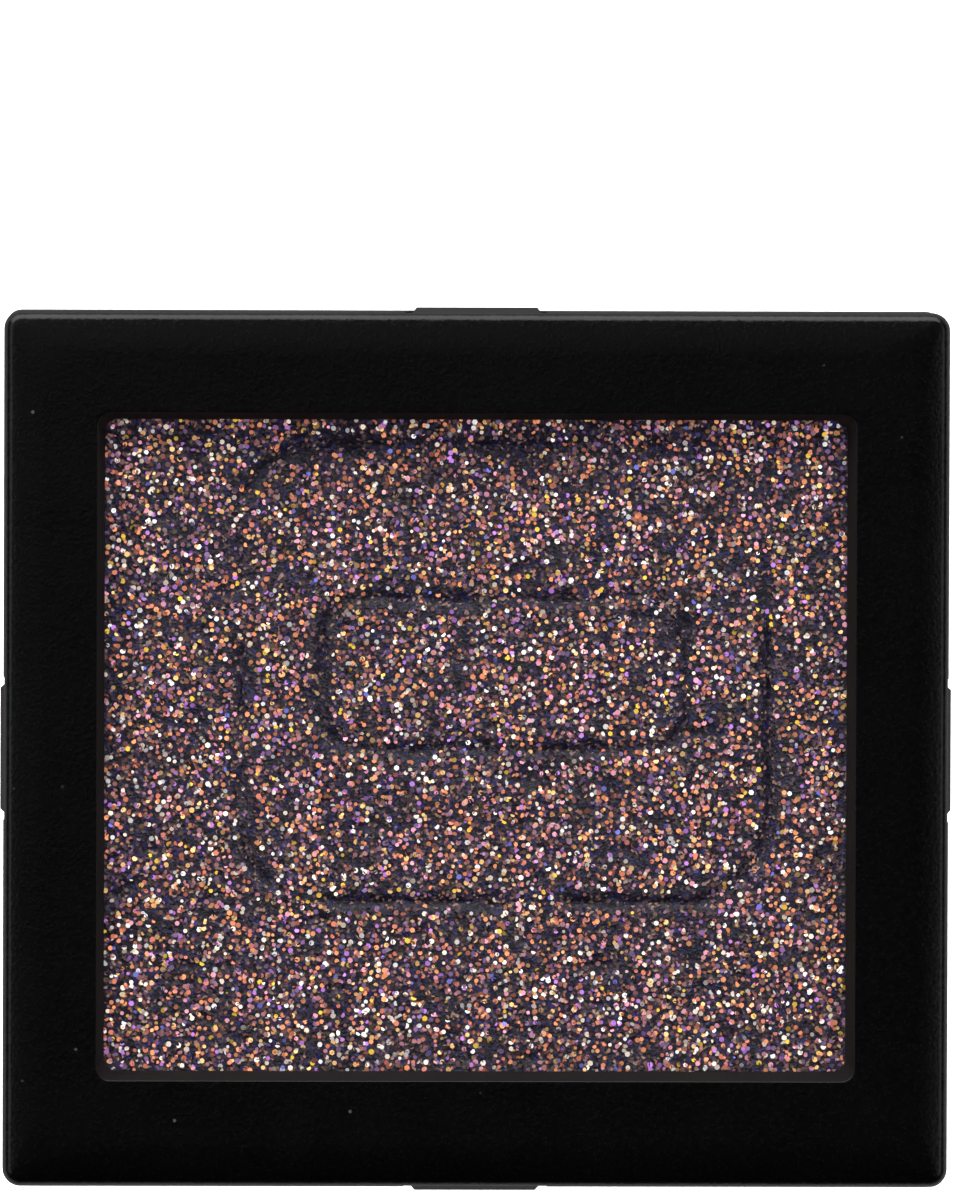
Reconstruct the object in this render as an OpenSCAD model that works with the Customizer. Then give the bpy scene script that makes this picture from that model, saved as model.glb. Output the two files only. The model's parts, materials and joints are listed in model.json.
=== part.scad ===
// Single-shade pressed-powder refill: a moulded tray and top frame that hold a
// powder pan, with a spring finger and snap bead at the middle of each side.
// Millimetres. Origin: centre of the underside. +X right, +Y back, +Z up.

/* [Overall size] */
// Outside width of the top frame, left to right
body_w = 29; // [26:0.1:36]
// Outside depth of the top frame, front to back
body_d = 26.85; // [24:0.05:34]
// Radius of the upright outside corners
corner_r = 0.55; // [0.4:0.05:1.2]
// Height of the tray's walls, up to the frame's underside
tray_h = 4; // [3.4:0.1:6]

/* [Top frame] */
// Thickness of the top frame's flat border
frame_t = 1; // [0.8:0.05:2]
// Width of the border on the left and right, at the top face
side_border = 2.88; // [2.7:0.01:4]
// Width of the border at the front, at the top face
front_border = 3.27; // [2.9:0.01:4.2]
// Width of the border at the back, at the top face
back_border = 3.1; // [2.9:0.01:4.2]
// Radius of the opening's corners
opening_r = 0.4; // [0.3:0.05:1.5]
// How much the opening narrows on each side, from its top to its lip
opening_draft = 0.22; // [0.05:0.01:0.3]
// Radius of the rounded edge round the top face
edge_r = 0.32; // [0.1:0.01:0.4]
// How far the lip reaches down below the border
lip_drop = 0.25; // [0.15:0.05:0.6]
// Width of the lip, out from the opening
lip_w = 1; // [0.6:0.05:1.2]

/* [Tray] */
// Thickness of the tray's floor
floor_t = 0.9; // [0.7:0.05:1.4]
// Thickness of the tray's outer walls
wall_t = 0.8; // [0.7:0.05:1]
// Step from the frame's edge in to the tray's wall
side_inset = 0.05; // [0.02:0.01:0.1]
// Radius of the push-out hole in the floor
push_hole_r = 2.5; // [1.5:0.1:4]
// Thickness of the low wall that locates the pan
pocket_wall = 0.5; // [0.4:0.05:0.7]
// Height of the low wall above the floor
pocket_h = 1.3; // [0.8:0.1:2]

/* [Corner pegs] */
// Distance of each peg from both outside edges
peg_inset = 1.7; // [1.6:0.05:1.9]
// Radius of the pegs under the top frame
peg_r = 0.6; // [0.45:0.01:0.7]
// Wall round each peg's socket
post_wall = 0.35; // [0.3:0.05:0.4]
// Gap between the top of a socket post and the frame
post_gap = 0.6; // [0.4:0.05:1]

/* [Spring fingers] */
// Width of each spring finger and its bead
finger_w = 4.2; // [2.5:0.1:6]
// Thickness of each spring finger
finger_t = 0.5; // [0.4:0.02:0.6]
// Radius of the rounded root that each finger turns on
root_r = 0.3; // [0.26:0.01:0.32]
// Width of the slot on each side of a finger
slot_w = 0.1; // [0.1:0.01:0.4]
// How far the front and back beads stand out past the frame's edge
end_bead_out = 0.13; // [0.06:0.01:0.3]
// How far the left and right beads stand out past the frame's edge
side_bead_out = 0.09; // [0.06:0.01:0.3]
// Height of the bead
bead_h = 0.85; // [0.7:0.05:1.1]
// Length of the taper at each end of a bead
bead_taper = 0.25; // [0.05:0.01:0.3]
// How far a finger bends inwards, in degrees
flex_angle = 6; // [4:0.5:7]
// Skin of the frame above a finger's free end
skin_t = 0.45; // [0.4:0.01:0.55]
// Depth of the notch in the frame's edge beside a bead
notch_in = 0.03; // [0.03:0.01:0.1]

/* [Pan and powder] */
// Thickness of the pan's wall
pan_wall = 0.3; // [0.2:0.02:0.4]
// Thickness of the pan's floor
pan_floor = 0.3; // [0.2:0.02:0.5]
// Width of the flange round the pan's rim
rim_w = 0.35; // [0.2:0.01:0.4]
// Thickness of that flange
rim_t = 0.3; // [0.2:0.01:0.5]
// How far the lip covers the powder's edge
lip_cover = 0.12; // [0.05:0.01:0.2]
// Drop from the pan's rim to the powder's face
fill_gap = 0.1; // [0.02:0.01:0.3]

/* [Pads and label] */
// Thickness of the adhesive pads under the pan
pad_t = 0.25; // [0.15:0.05:0.5]
// Gap from a pad to the edge of the push-out hole
pad_hole_gap = 0.9; // [0.3:0.1:2]
// Gap from a pad to the pan's side edge
pad_side_gap = 1.3; // [0.3:0.1:3]
// Gap from a pad to the pan's front and back edges
pad_end_gap = 3; // [0.5:0.1:5]
// Depth of the label under the tray
label_d = 6.5; // [4:0.5:7]
// Thickness of the label
label_t = 0.1; // [0.06:0.01:0.15]
// Gap from the label to the tray's left and right sides
label_side_gap = 4.45; // [2:0.05:7]
// Gap from the label to the tray's front side
label_front_gap = 2.5; // [1:0.1:2.6]

/* [Clearances] */
// Radial gap round a peg in its socket
peg_gap = 0.05; // [0.02:0.01:0.1]
// Radial gap round a finger's root in its groove
root_gap = 0.03; // [0.02:0.01:0.06]
// Gap between the tray's wall and the frame's locating rim
rim_gap = 0.1; // [0.05:0.01:0.2]
// Gap between the pan and the low wall round it
pan_gap = 0.15; // [0.05:0.01:0.25]
// Gap between the pan's rim and the lip above it
lip_gap = 0.05; // [0.03:0.01:0.2]
// Gap above a finger's free end
finger_gap = 0.05; // [0.03:0.01:0.1]
// Gap left behind a finger when it is bent fully inwards
flex_gap = 0.1; // [0.05:0.01:0.2]
// Gap round the label in its recess
label_gap = 0.15; // [0.05:0.01:0.3]

/* [Hidden] */
$fn = 48;

// Small overlap that keeps cuts and unions clean
over = 0.02;
// Locating rim under the frame: its wall, height, and gap to its neighbours
locator_t = 0.5;
locator_h = 0.7;
locator_end_gap = 0.3;
// Blind depth below a peg's tip, and floor left under its socket
peg_tip_gap = 0.2;
socket_floor = 0.3;
// Corner radius of the pads, the label and its recess
soft_corner_r = 0.6;
// Lead-in slope under the bead, and how far its flat outer face reaches
bead_flat = 0.25;
// Facets of the drafted opening
draft_fn = 32;

half_w = body_w / 2;
half_d = body_d / 2;
top_z = tray_h + frame_t;

// Opening in the frame, at its top face and at its lip; open_y is the place of its middle
open_w = body_w - 2 * side_border;
open_d = body_d - front_border - back_border;
open_y = (front_border - back_border) / 2;
lip_open_w = open_w - 2 * opening_draft;
lip_open_d = open_d - 2 * opening_draft;
lip_z = tray_h - lip_drop;

// Tray
tray_w = body_w - 2 * side_inset;
tray_d = body_d - 2 * side_inset;
cavity_w = tray_w - 2 * wall_t;
cavity_d = tray_d - 2 * wall_t;
tray_r = corner_r - side_inset;
cavity_r = 0.3;

// Pan and powder
pan_in_w = lip_open_w + 2 * lip_cover;
pan_in_d = lip_open_d + 2 * lip_cover;
pan_in_r = opening_r + lip_cover;
pan_z = floor_t + pad_t;
rim_z = lip_z - lip_gap;
powder_z = pan_z + pan_floor;
powder_top = rim_z - fill_gap;
pocket_w = pan_in_w + 2 * (pan_wall + pan_gap);
pocket_d = pan_in_d + 2 * (pan_wall + pan_gap);
pocket_r = pan_in_r + pan_wall + pan_gap;

// Pads and label
pad_in_x = push_hole_r + pad_hole_gap;
pad_out_x = pan_in_w / 2 + pan_wall - pad_side_gap;
pad_w = pad_out_x - pad_in_x;
pad_d = pan_in_d + 2 * (pan_wall - pad_end_gap);
pad_x = (pad_in_x + pad_out_x) / 2;
label_w = tray_w - 2 * label_side_gap;
label_y = tray_d / 2 - label_front_gap - label_d / 2;

// Fingers: hinge height, free end, and room to bend
finger_mid = side_inset + wall_t / 2;
hinge_z = floor_t + finger_t / 2;
finger_top = top_z - skin_t - finger_gap;
flex_room = (finger_top - hinge_z) * sin(flex_angle) + flex_gap;
window_w = finger_w + 2 * slot_w;

// Pegs and posts
peg_x = half_w - peg_inset;
peg_y = half_d - peg_inset;
post_r = peg_r + peg_gap + post_wall;
post_top = tray_h - post_gap;
peg_z = socket_floor + peg_tip_gap + floor_t;

// The four sides, each with its turn about Z and its distance from the middle
FRONT = 0;
BACK = 1;
LEFT = 2;
RIGHT = 3;
side_turn = [-90, 90, 180, 0];
side_half = [half_d, half_d, half_w, half_w];
side_run = [half_w, half_w, half_d, half_d];
side_bead = [end_bead_out, end_bead_out, side_bead_out, side_bead_out];

// ---------- shared shapes ----------

module rounded_rect(w, d, r) {
    square([w - 2 * r, d], center = true);
    square([w, d - 2 * r], center = true);
    for (x = [-1, 1], y = [-1, 1])
        translate([x * (w / 2 - r), y * (d / 2 - r)])
            circle(r);
}

module rounded_plate(w, d, r, z0, z1) {
    translate([0, 0, z0])
        linear_extrude(z1 - z0)
            rounded_rect(w, d, r);
}

// A plate with its top edge rounded all the way round
module soft_edge_plate(w, d, r, z0, z1, e) {
    rounded_plate(w, d, r, z0, z1 - e);
    rounded_plate(w - 2 * e, d - 2 * e, r - e, z0, z1);
    for (y = [-1, 1])
        translate([0, y * (d / 2 - e), z1 - e])
            rotate([0, 90, 0])
                cylinder(r = e, h = w - 2 * r, center = true);
    for (x = [-1, 1])
        translate([x * (w / 2 - e), 0, z1 - e])
            rotate([90, 0, 0])
                cylinder(r = e, h = d - 2 * r, center = true);
    for (x = [-1, 1], y = [-1, 1])
        translate([x * (w / 2 - r), y * (d / 2 - r), z1 - e])
            soft_corner(r, e);
}

// One rounded corner of that edge, as a full turn
module soft_corner(r, e) {
    rotate_extrude()
        intersection() {
            translate([r - e, 0])
                circle(e);
            translate([0, -e])
                square([r, 2 * e]);
        }
}

// Places its children on one side, with +X pointing out of that side
module on_side(side) {
    rotate([0, 0, side_turn[side]])
        children();
}

module at_corners(x, y) {
    for (i = [-1, 1], j = [-1, 1])
        translate([i * x, j * y, 0])
            children();
}

// ---------- spring fingers ----------

// The bead's section: a lead-in below, a flat outer edge and a sloping top
module bead_section(half, out) {
    face = half - finger_mid + finger_t / 2;
    tip = half + out;
    top = finger_top;
    low = top - bead_h;
    lead = tip - face;
    polygon([
        [face - over, low],
        [face, low],
        [tip, low + lead],
        [tip, low + lead + bead_flat],
        [half - notch_in, top],
        [face - over, top]
    ]);
}

// The bead's outline from above, tapered at both ends
module bead_plan(half, out) {
    face = half - finger_mid + finger_t / 2;
    tip = half + out;
    polygon([
        [face - over, -finger_w / 2],
        [face, -finger_w / 2],
        [tip, bead_taper - finger_w / 2],
        [tip, finger_w / 2 - bead_taper],
        [face, finger_w / 2],
        [face - over, finger_w / 2]
    ]);
}

module bead(half, out) {
    intersection() {
        translate([0, finger_w / 2, 0])
            rotate([90, 0, 0])
                linear_extrude(finger_w)
                    bead_section(half, out);
        translate([0, 0, finger_top - bead_h])
            linear_extrude(bead_h)
                bead_plan(half, out);
    }
}

module finger(side) {
    half = side_half[side];
    on_side(side) {
        translate([half - finger_mid - finger_t / 2, -finger_w / 2, hinge_z])
            cube([finger_t, finger_w, finger_top - hinge_z]);
        translate([half - finger_mid, 0, hinge_z])
            rotate([90, 0, 0])
                cylinder(r = root_r, h = finger_w, center = true);
        bead(half, side_bead[side]);
    }
}

// Space that a finger needs in the tray's wall, down to its groove
module finger_window(side) {
    half = side_half[side];
    on_side(side) {
        translate([half - side_inset - wall_t - over, -window_w / 2, hinge_z])
            cube([wall_t + 2 * over, window_w, tray_h]);
        translate([half - finger_mid, 0, hinge_z])
            rotate([90, 0, 0])
                cylinder(r = root_r + root_gap, h = window_w, center = true);
    }
}

// Pocket under the frame's edge for the finger's free end, and the edge notch
module finger_pocket(side) {
    half = side_half[side];
    depth = finger_mid + finger_t / 2 + flex_room;
    on_side(side) {
        translate([half - depth, -window_w / 2, lip_z])
            cube([depth + over, window_w, top_z - skin_t - lip_z]);
        translate([half - notch_in, -window_w / 2, lip_z])
            cube([notch_in + over, window_w, top_z]);
    }
}

// ---------- top frame ----------

module opening_cut() {
    hull() {
        rounded_plate(lip_open_w, lip_open_d, opening_r, lip_z - over, lip_z, $fn = draft_fn);
        rounded_plate(open_w, open_d, opening_r, top_z, top_z + over, $fn = draft_fn);
    }
}

// Two short walls under each side of the frame, inside the tray's walls
module locators(side) {
    half = side_half[side] - side_inset - wall_t - rim_gap;
    start = window_w / 2 + locator_end_gap;
    end = side_run[side] - peg_inset - post_r - locator_end_gap;
    on_side(side)
        for (s = [-1, 1])
            translate([half - locator_t / 2, s * (start + end) / 2, tray_h - locator_h / 2 + over / 2])
                cube([locator_t, end - start, locator_h + over], center = true);
}

module top_frame() {
    color("#161518")
        difference() {
            union() {
                soft_edge_plate(body_w, body_d, corner_r, tray_h, top_z, edge_r);
                translate([0, open_y, 0])
                    rounded_plate(lip_open_w + 2 * lip_w, lip_open_d + 2 * lip_w,
                        opening_r + lip_w, lip_z, tray_h + over);
                for (side = [FRONT:RIGHT])
                    locators(side);
                at_corners(peg_x, peg_y)
                    translate([0, 0, peg_z])
                        cylinder(r = peg_r, h = tray_h - peg_z + over);
            }
            translate([0, open_y, 0])
                opening_cut();
            for (side = [FRONT:RIGHT])
                finger_pocket(side);
        }
}

// ---------- tray ----------

module label_recess() {
    translate([0, -label_y, 0])
        rounded_plate(label_w + 2 * label_gap, label_d + 2 * label_gap,
            soft_corner_r + label_gap, -over, label_t + over);
}

// Low wall on the floor that locates the pan
module pocket_ring() {
    difference() {
        rounded_plate(pocket_w + 2 * pocket_wall, pocket_d + 2 * pocket_wall,
            pocket_r + pocket_wall, floor_t - over, floor_t + pocket_h);
        rounded_plate(pocket_w, pocket_d, pocket_r, 0, tray_h);
    }
}

module base_tray() {
    color("#131215")
        difference() {
            union() {
                difference() {
                    rounded_plate(tray_w, tray_d, tray_r, 0, tray_h);
                    rounded_plate(cavity_w, cavity_d, cavity_r, floor_t, tray_h + over);
                }
                translate([0, open_y, 0])
                    pocket_ring();
                at_corners(peg_x, peg_y)
                    translate([0, 0, floor_t - over])
                        cylinder(r = post_r, h = post_top - floor_t + over);
            }
            at_corners(peg_x, peg_y)
                translate([0, 0, peg_z - peg_tip_gap])
                    cylinder(r = peg_r + peg_gap, h = tray_h);
            translate([0, 0, -over])
                cylinder(r = push_hole_r, h = floor_t + 2 * over);
            label_recess();
            for (side = [FRONT:RIGHT])
                finger_window(side);
        }
}

module finger_front() {
    color("#131215")
        finger(FRONT);
}

module finger_back() {
    color("#131215")
        finger(BACK);
}

module finger_left() {
    color("#131215")
        finger(LEFT);
}

module finger_right() {
    color("#131215")
        finger(RIGHT);
}

// ---------- pan, powder, pads and label ----------

module pan() {
    color("silver")
        translate([0, open_y, 0])
            difference() {
                union() {
                    rounded_plate(pan_in_w + 2 * pan_wall, pan_in_d + 2 * pan_wall,
                        pan_in_r + pan_wall, pan_z, rim_z);
                    rounded_plate(pan_in_w + 2 * (pan_wall + rim_w), pan_in_d + 2 * (pan_wall + rim_w),
                        pan_in_r + pan_wall + rim_w, rim_z - rim_t, rim_z);
                }
                rounded_plate(pan_in_w, pan_in_d, pan_in_r, powder_z, rim_z + over);
            }
}

module powder_cake() {
    color("#6b5556")
        translate([0, open_y, 0])
            rounded_plate(pan_in_w, pan_in_d, pan_in_r, powder_z, powder_top);
}

module adhesive_pad(side) {
    translate([side * pad_x, open_y, 0])
        rounded_plate(pad_w, pad_d, soft_corner_r, floor_t, pan_z);
}

module adhesive_pad_left() {
    color("gainsboro")
        adhesive_pad(-1);
}

module adhesive_pad_right() {
    color("gainsboro")
        adhesive_pad(1);
}

module rear_label() {
    color("white")
        translate([0, -label_y, 0])
            rounded_plate(label_w, label_d, soft_corner_r, over, label_t + over);
}

top_frame();
base_tray();
finger_front();
finger_back();
finger_left();
finger_right();
pan();
powder_cake();
adhesive_pad_left();
adhesive_pad_right();
rear_label();
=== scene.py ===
"""A snap-in eyeshadow refill: a moulded frame and tray round a pan of pressed glitter powder.

Shapes are made in millimetres and scaled to metres as each piece is handed to its CAD body.
"""

import json
import math

import bmesh
import bpy
import numpy as np
from mathutils import Matrix, Vector, noise

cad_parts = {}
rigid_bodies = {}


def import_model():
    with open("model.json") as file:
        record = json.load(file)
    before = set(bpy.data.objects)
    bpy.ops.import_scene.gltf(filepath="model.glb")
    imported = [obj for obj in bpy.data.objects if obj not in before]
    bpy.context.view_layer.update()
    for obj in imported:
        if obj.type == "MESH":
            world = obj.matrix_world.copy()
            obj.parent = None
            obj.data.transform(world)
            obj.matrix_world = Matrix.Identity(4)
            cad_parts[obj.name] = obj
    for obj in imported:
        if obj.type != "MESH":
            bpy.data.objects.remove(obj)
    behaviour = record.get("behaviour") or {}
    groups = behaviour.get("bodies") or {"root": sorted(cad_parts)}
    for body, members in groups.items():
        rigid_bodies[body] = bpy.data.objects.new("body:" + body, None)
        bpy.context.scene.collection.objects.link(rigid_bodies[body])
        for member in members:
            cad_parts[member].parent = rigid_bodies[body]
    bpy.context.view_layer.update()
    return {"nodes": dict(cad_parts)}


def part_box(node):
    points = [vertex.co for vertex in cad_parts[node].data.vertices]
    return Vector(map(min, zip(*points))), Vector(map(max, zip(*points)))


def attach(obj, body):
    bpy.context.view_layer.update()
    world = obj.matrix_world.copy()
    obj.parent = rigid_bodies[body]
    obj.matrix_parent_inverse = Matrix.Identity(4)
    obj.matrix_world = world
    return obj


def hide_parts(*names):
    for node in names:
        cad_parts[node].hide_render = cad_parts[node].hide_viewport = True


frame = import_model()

MM = 0.001


def cad_box(node):
    """Lowest and highest corner of a CAD node, in millimetres."""
    low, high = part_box(node)
    return Vector(low) / MM, Vector(high) / MM


# ---------- sizes, in millimetres and degrees ----------

frame_low, frame_high = cad_box("top_frame")
tray_low, tray_high = cad_box("base_tray")
pan_low, pan_high = cad_box("pan")
cake_low, cake_high = cad_box("powder_cake")
label_low, label_high = cad_box("rear_label")
finger_low, finger_high = cad_box("finger_right")

BODY_W = frame_high.x - frame_low.x
BODY_D = frame_high.y - frame_low.y
BODY_TOP = frame_high.z
PEG_Z = frame_low.z
CORNER_R = 0.55
EDGE_R = 0.32
UNDER_EDGE_R = 0.05
CORNER_STEPS = 10
LEAST_CORNER_R = 0.02

# The frame's border and opening
SIDE_BORDER = 2.88
FRONT_BORDER = 3.27
BACK_BORDER = 3.1
OPENING_R = 0.4
OPENING_DRAFT = 0.22
OPENING_EDGE_R = 0.03
LIP_EDGE_R = 0.04
LIP_DROP = 0.25
LIP_W = 1.0
BLEND_DROP = 0.085
BLEND_W = 1.1
BLEND_STEPS = 7
BLEND_CORNER_R = 1.4
FACE_END = 0.97

# The tray
TRAY_W = tray_high.x - tray_low.x
TRAY_D = tray_high.y - tray_low.y
TRAY_H = tray_high.z
SIDE_INSET = (BODY_W - TRAY_W) / 2
TRAY_R = CORNER_R - SIDE_INSET
WALL_T = 0.8
FLOOR_T = 0.9
CAVITY_R = 0.3
CAVITY_FILLET = ((0, 0.1), (0.03, 0.03), (0.1, 0))
BASE_EDGE_R = 0.25
WALL_EDGE_R = 0.06
PUSH_HOLE_R = 2.5
PUSH_HOLE_FLARE = 0.18
FLARE_ANGLES = (0, 30, 60, 90)
POCKET_GAP = 0.15
POCKET_WALL = 0.5
POCKET_H = 1.3
GATE_R = 0.9
GATE_Y = 8.0
GATE_DEPTH = 0.12
GATE_CHAMFER = (0.06, 0.04)
GATE_NIB_R = 0.35
EJECTOR_R = 0.8
EJECTOR_INSET = 3.4
EJECTOR_DEPTH = 0.03
LABEL_GAP = 0.15
LABEL_DEPTH = 0.12
LABEL_R = 0.6

# Pegs and socket posts
PEG_INSET = 1.7
PEG_R = 0.6
PEG_GAP = 0.05
POST_WALL = 0.35
POST_GAP = 0.6
PEG_TIP_GAP = 0.2
PEG_CHAMFER = 0.12
POST_CHAMFER = 0.08
SOCKET_LEAD = (0.12, 0.1)
ROUND_STEPS = 40

# Locating rim under the frame
LOCATOR_T = 0.5
LOCATOR_H = 0.7
LOCATOR_GAP = 0.3
RIM_GAP = 0.1

# Spring fingers: windows in the tray, pockets in the frame
FINGER_W = finger_high.y - finger_low.y
FINGER_T = 0.5
FINGER_TOP = finger_high.z
SLOT_W = 0.1
WINDOW_W = FINGER_W + 2 * SLOT_W
FINGER_MID = SIDE_INSET + WALL_T / 2
HINGE_Z = FLOOR_T + FINGER_T / 2
GROOVE_R = 0.33
FLEX = math.radians(6)
FLEX_GAP = 0.1
SKIN_T = 0.45
NOTCH_IN = 0.03

# Pan, from thin drawn metal
PAN_FLANGE = 0.35
PAN_RIM_T = 0.3
PAN_WALL = 0.3
PAN_BASE_R = 0.3
PAN_NECK_R = 0.08
PAN_LIP_R = 0.1
PAN_FLOOR_R = 0.2
PAN_R = 0.52

# Pressed powder
CAKE_GAP = 0.01
CAKE_STEP = 0.12
CAKE_CORNER_ROWS = 10
CAKE_DROP = 0.04
SWELL = 0.015
GRAIN = 0.02
PIT_DEPTH = 0.1
PIT_START = 0.42
PIT_RISE = 0.18

# Pressed pattern in the powder: two plain rounded rectangles, one inside the other
PRESS_X = 0.9
PRESS_Y = 2.2
PRESS_OUTLINES = ((16.2, 14.0, 2.4), (11.2, 4.6, 1.2))
PRESS_HALF = 0.13
PRESS_EDGE = 0.38
PRESS_DEPTH = 0.24
PRESS_WANDER = 0.15
PRESS_BARE = 1.3
WORN_MIDDLE = 0.7
WORN_SWING = 1.8
WORN_LEAST = 0.05

# Glitter, in both layers
FLAKE_SIDES = 6
FLAKE_DEPTH = 0.016
FLAKE_MARGIN = 0.12
FLAKE_SCATTER = 1.54
FLAKE_MAX_TILT = 55
FLAKE_UV_R = 0.42
SPARSE = 1.3
# These five set the painted glint, a brightness painted into each flake's colour for the light it catches:
# its random spread, and how much brighter it is painted where flakes crowd.
GLINT_SPREAD = 0.75
GLINT_POWER = 1.5
GLINT_MIDDLE = 0.95
GLINT_SWING = 0.8
GLINT_LIMITS = (0.35, 1.1)

# The bright layer, and the dull one under it
FLAKE_SEED = 11
FLAKE_CELL = 0.178
FLAKE_R = (0.052, 0.092)
FLAKE_AVOID = 0.95
FLAKE_TILT = 20
FLAKE_LIFT = 0.03
DULL_SEED = 12
DULL_CELL = 0.16
DULL_R = (0.045, 0.085)
DULL_AVOID = 0.8
DULL_TILT = 30
DULL_LIFT = 0.012

# Overlap that keeps cuts clean, the shortest edge kept after them, and the bevel on their edges
OVER = 0.05
SHORT_EDGE = 0.004
CUT_EDGE_R = 0.02

# Rounding on the CAD pieces' edges, and the angle from which an edge is sharp
WELD_GAP = 0.0005
FINGER_EDGE_R = 0.03
PAD_EDGE_R = 0.05
LABEL_EDGE_R = 0.02
CREASE = 35
CAKE_CREASE = 50


# ---------- mesh helpers ----------

def rounded_rectangle(width, depth, radius, middle=0.0, steps=CORNER_STEPS):
    """Points of a rounded rectangle about (0, middle), with steps + 1 points at each corner."""
    points = []
    for quarter, (sx, sy) in enumerate(((1, 1), (-1, 1), (-1, -1), (1, -1))):
        for i in range(steps + 1):
            a = math.radians(90 * (quarter + i / steps))
            x = sx * (width / 2 - radius) + radius * math.cos(a)
            y = sy * (depth / 2 - radius) + radius * math.sin(a)
            points.append((x, y + middle))
    return points


def round_points(radius, steps=ROUND_STEPS):
    """Points of a circle, anticlockwise."""
    turns = [2 * math.pi * i / steps for i in range(steps)]
    return [(radius * math.cos(a), radius * math.sin(a)) for a in turns]


def inset_rings(width, depth, radius, profile, middle=0.0):
    """Rounded rectangles inset from one outline, as (points, z), for a profile of (inset, z)."""
    rings = []
    for inset, z in profile:
        corner = max(radius - inset, LEAST_CORNER_R)
        rings.append((rounded_rectangle(width - 2 * inset, depth - 2 * inset, corner, middle), z))
    return rings


def arc(x, z, radius, start, end, steps):
    """Profile points along an arc about (x, z), with its angles in degrees."""
    turns = [math.radians(start + (end - start) * i / steps) for i in range(steps + 1)]
    return [(x + radius * math.cos(a), z + radius * math.sin(a)) for a in turns]


def loft(rings, closed=False):
    """A mesh through rings of (points, z): capped at both ends, or closed on itself."""
    mesh = bmesh.new()
    loops = [[mesh.verts.new((x, y, z)) for x, y in points] for points, z in rings]
    pairs = list(zip(loops, loops[1:]))
    if closed:
        pairs.append((loops[-1], loops[0]))
    for low, high in pairs:
        for i in range(len(low)):
            j = (i + 1) % len(low)
            mesh.faces.new((low[i], low[j], high[j], high[i]))
    if not closed:
        mesh.faces.new(loops[0])
        mesh.faces.new(loops[-1])
    bmesh.ops.recalc_face_normals(mesh, faces=mesh.faces)
    result = bpy.data.meshes.new("solid")
    mesh.to_mesh(result)
    mesh.free()
    return result


def lathe(profile, x=0, y=0):
    """A round solid about a vertical line through (x, y), for a profile of (radius, z)."""
    rings = []
    for radius, z in profile:
        rings.append(([(x + u, y + v) for u, v in round_points(radius)], z))
    return loft(rings)


def block(x0, x1, y0, y1, z0, z1, turn=0.0):
    """A box between two corners, turned about Z by turn degrees."""
    outline = [(x0, y0), (x1, y0), (x1, y1), (x0, y1)]
    solid = loft([(outline, z0), (outline, z1)])
    solid.transform(Matrix.Rotation(math.radians(turn), 4, "Z"))
    return solid


def groove_rod(radius, x, z, length, turn):
    """A lying cylinder for a finger's hinge groove."""
    solid = loft([(round_points(radius), -length / 2), (round_points(radius), length / 2)])
    solid.transform(Matrix.Rotation(math.radians(90), 4, "X"))
    solid.transform(Matrix.Translation((x, 0, z)))
    solid.transform(Matrix.Rotation(math.radians(turn), 4, "Z"))
    return solid


def evaluated(obj):
    """A plain mesh of obj with its modifiers applied."""
    graph = bpy.context.evaluated_depsgraph_get()
    return bpy.data.meshes.new_from_object(obj.evaluated_get(graph))


def combined(base, others, operation):
    """The mesh that is left when the others are joined to base or cut from it."""
    links = bpy.context.scene.collection.objects
    for other in others:
        work = bpy.data.objects.new("work", base)
        tool = bpy.data.objects.new("tool", other)
        links.link(work)
        links.link(tool)
        step = work.modifiers.new("Boolean", "BOOLEAN")
        step.operation = operation
        step.solver = "EXACT"
        step.object = tool
        base = evaluated(work)
        bpy.data.objects.remove(work)
        bpy.data.objects.remove(tool)
    return base


def cleaned(base):
    """base without the very short edges that cuts leave."""
    mesh = bmesh.new()
    mesh.from_mesh(base)
    bmesh.ops.remove_doubles(mesh, verts=mesh.verts, dist=SHORT_EDGE)
    bmesh.ops.dissolve_degenerate(mesh, edges=mesh.edges, dist=SHORT_EDGE)
    mesh.to_mesh(base)
    mesh.free()
    return base


def softened(base, width=CUT_EDGE_R, segments=2):
    """base with its sharp edges rounded over."""
    cleaned(base)
    work = bpy.data.objects.new("work", base)
    bpy.context.scene.collection.objects.link(work)
    step = work.modifiers.new("Bevel", "BEVEL")
    step.width = width
    step.segments = segments
    step.limit_method = "ANGLE"
    step.angle_limit = math.radians(CREASE)
    result = evaluated(work)
    bpy.data.objects.remove(work)
    return result


def piece(name, solid, body, slot, material, *nodes):
    """Hands a millimetre mesh to its CAD body, in place of the CAD nodes named. The slot is not used."""
    solid.transform(Matrix.Scale(MM, 4))
    solid.name = name
    solid.materials.append(material)
    obj = bpy.data.objects.new(name, solid)
    bpy.context.scene.collection.objects.link(obj)
    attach(obj, body)
    if nodes:
        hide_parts(*nodes)
    return obj


def smooth(obj, angle=CREASE):
    """Smooth shading that stays crisp at sharp edges and flat on flat faces."""
    obj.data.polygons.foreach_set("use_smooth", [True] * len(obj.data.polygons))
    obj.data.set_sharp_from_angle(angle=math.radians(angle))
    step = obj.modifiers.new("Normals", "WEIGHTED_NORMAL")
    step.keep_sharp = True
    return obj


def dress(node, material, width):
    """Gives a CAD node its material, and a small rounding on its sharp edges."""
    obj = frame["nodes"][node]
    obj.data.materials.clear()
    obj.data.materials.append(material)
    weld = obj.modifiers.new("Weld", "WELD")
    weld.merge_threshold = WELD_GAP * MM
    bevel = obj.modifiers.new("Bevel", "BEVEL")
    bevel.width = width * MM
    bevel.segments = 2
    bevel.limit_method = "ANGLE"
    bevel.angle_limit = math.radians(CREASE)
    bevel.harden_normals = True
    return obj


# ---------- materials ----------

DUST = (60, 57, 62)
DUST_CELL = 1.1
PLASTIC_GLOSS = 0.35
WALL_ROUGHNESS = 0.85


def srgb(red, green, blue):
    """A linear RGBA colour from 0-255 display values."""
    def linear(v):
        v /= 255
        return v / 12.92 if v <= 0.04045 else ((v + 0.055) / 1.055) ** 2.4
    return (linear(red), linear(green), linear(blue), 1.0)


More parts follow.
